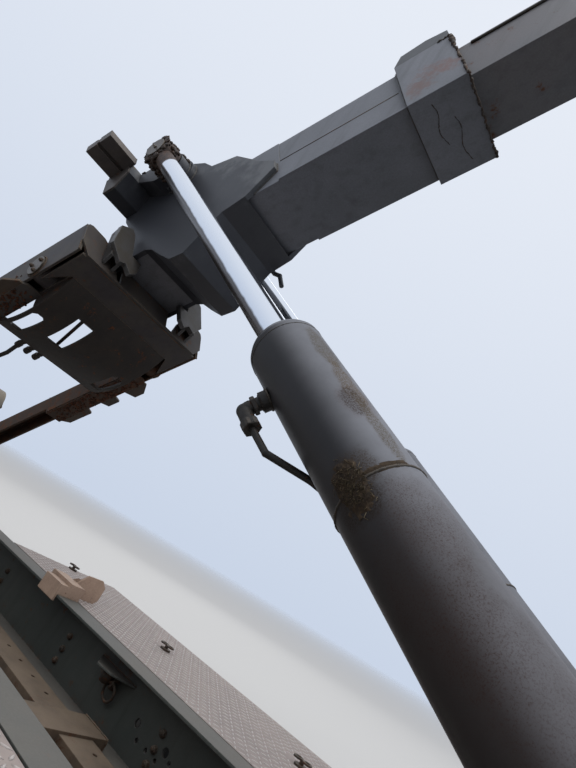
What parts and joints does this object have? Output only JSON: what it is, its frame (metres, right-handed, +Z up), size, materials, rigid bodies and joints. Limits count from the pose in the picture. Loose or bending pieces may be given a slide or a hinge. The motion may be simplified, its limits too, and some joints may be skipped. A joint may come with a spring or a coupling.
{
  "type": "hook-lift hoist",
  "caption": "Truck-body hook-lift hoist: subframe with side decks, tipping frame, telescopic arm with hook and twin lift cylinders, arm raised.",
  "frame": {"origin": "on the underside of the rear crossmember, on the centreline, straight below the tipping axis", "axes": "+X to the front (hook and truck cab), +Y to the left, +Z up"},
  "size_m": [5.4169, 2.504, 5.2705],
  "materials": {
    "rail_paint": "satin, worn to bare metal on the flange",
    "frame_paint": "matt, rusty",
    "arm_paint": "satin, dusty",
    "jib_steel": "brown rust film",
    "barrel_paint": "satin with dried mud",
    "rod_chrome": "polished",
    "pin_steel": "greasy",
    "deck_plate": "checker plate, dusty",
    "hook_steel": "worn",
    "latch_paint": "matt",
    "roller_steel": "worn",
    "pad_plastic": "scuffed",
    "clamp_steel": "rusty"
  },
  "bodies": {
    "subframe": {"rail_left": "rail_paint", "rail_right": "rail_paint", "crossmember_rear": "rail_paint", "crossmember_mid": "rail_paint", "crossmember_base": "rail_paint", "crossmember_front": "rail_paint", "axis_blocks": "rail_paint", "base_pins": "pin_steel", "deck_left": "deck_plate", "deck_right": "deck_plate", "deck_brackets": "rail_paint", "deck_clamps": "clamp_steel"},
    "tipping_frame": {"frame_beam_left": "frame_paint", "frame_beam_right": "frame_paint", "frame_crossbeam": "frame_paint", "frame_plates": "frame_paint", "frame_lugs": "frame_paint", "axis_tube": "frame_paint", "axis_shaft": "pin_steel", "arm_shaft": "pin_steel", "roller_brackets": "frame_paint", "lock_claws": "frame_paint"},
    "left_roller": {"roller_left": "roller_steel"},
    "right_roller": {"roller_right": "roller_steel"},
    "main_arm": {"outer_box": "arm_paint", "arm_cheeks": "arm_paint", "cross_box": "arm_paint", "rail_supports": "arm_paint", "collar": "arm_paint", "collar_lug": "arm_paint", "wear_pads": "pad_plastic"},
    "jib": {"inner_box": "jib_steel", "slide_shoes": "pad_plastic", "jib_upright": "arm_paint", "hook": "hook_steel"},
    "latch": {"hook_latch": "latch_paint"},
    "left_barrel": {"barrel_left": "barrel_paint", "gland_left": "barrel_paint", "pipe_left": "clamp_steel"},
    "left_rod": {"rod_left": "rod_chrome", "eye_pin_left": "pin_steel"},
    "right_barrel": {"barrel_right": "barrel_paint", "gland_right": "barrel_paint", "pipe_right": "clamp_steel"},
    "right_rod": {"rod_right": "rod_chrome", "eye_pin_right": "pin_steel"}
  },
  "joints": [
    {"name": "tip", "type": "hinge", "parent": "subframe", "child": "tipping_frame", "pos_m": [0, 0, 0.414], "axis": [0, -1, 0], "range_deg": [-36.36, 8.64]},
    {"name": "arm_swing", "type": "hinge", "parent": "tipping_frame", "child": "main_arm", "pos_m": [1.41225, 0, 1.44747], "axis": [0, -1, 0], "range_deg": [0, 105]},
    {"name": "jib_slide", "type": "slide", "parent": "main_arm", "child": "jib", "axis": [0.8053, 0, 0.5929], "range_m": [-0.93, 0]},
    {"name": "latch_hinge", "type": "hinge", "parent": "jib", "child": "latch", "pos_m": [2.63501, 0, 5.23474], "axis": [0, 1, 0], "range_deg": [0, 70]},
    {"name": "left_roller_spin", "type": "hinge", "parent": "tipping_frame", "child": "left_roller", "pos_m": [-0.31293, 0, 0.8728], "axis": [0, 1, 0], "continuous": true},
    {"name": "right_roller_spin", "type": "hinge", "parent": "tipping_frame", "child": "right_roller", "pos_m": [-0.31293, 0, 0.8728], "axis": [0, 1, 0], "continuous": true},
    {"name": "left_barrel_swing", "type": "hinge", "parent": "subframe", "child": "left_barrel", "pos_m": [4.596, 0, 0.38], "axis": [0, 1, 0], "range_deg": [-12.74, 3.03]},
    {"name": "left_rod_slide", "type": "slide", "parent": "left_barrel", "child": "left_rod", "axis": [-0.8509, 0, 0.5253], "range_m": [-1.2991, 0.3094]},
    {"name": "right_barrel_swing", "type": "hinge", "parent": "subframe", "child": "right_barrel", "pos_m": [4.596, 0, 0.38], "axis": [0, 1, 0], "range_deg": [-12.74, 3.03]},
    {"name": "right_rod_slide", "type": "slide", "parent": "right_barrel", "child": "right_rod", "axis": [-0.8509, 0, 0.5253], "range_m": [-1.2991, 0.3094]}
  ],
  "couplings": [
    {"joint": "left_barrel_swing", "follows": "tip", "ratio": 0.35},
    {"joint": "left_rod_slide", "follows": "tip", "m_per_rad": 2.0455},
    {"joint": "right_barrel_swing", "follows": "tip", "ratio": 0.35},
    {"joint": "right_rod_slide", "follows": "tip", "m_per_rad": 2.0455}
  ]
}
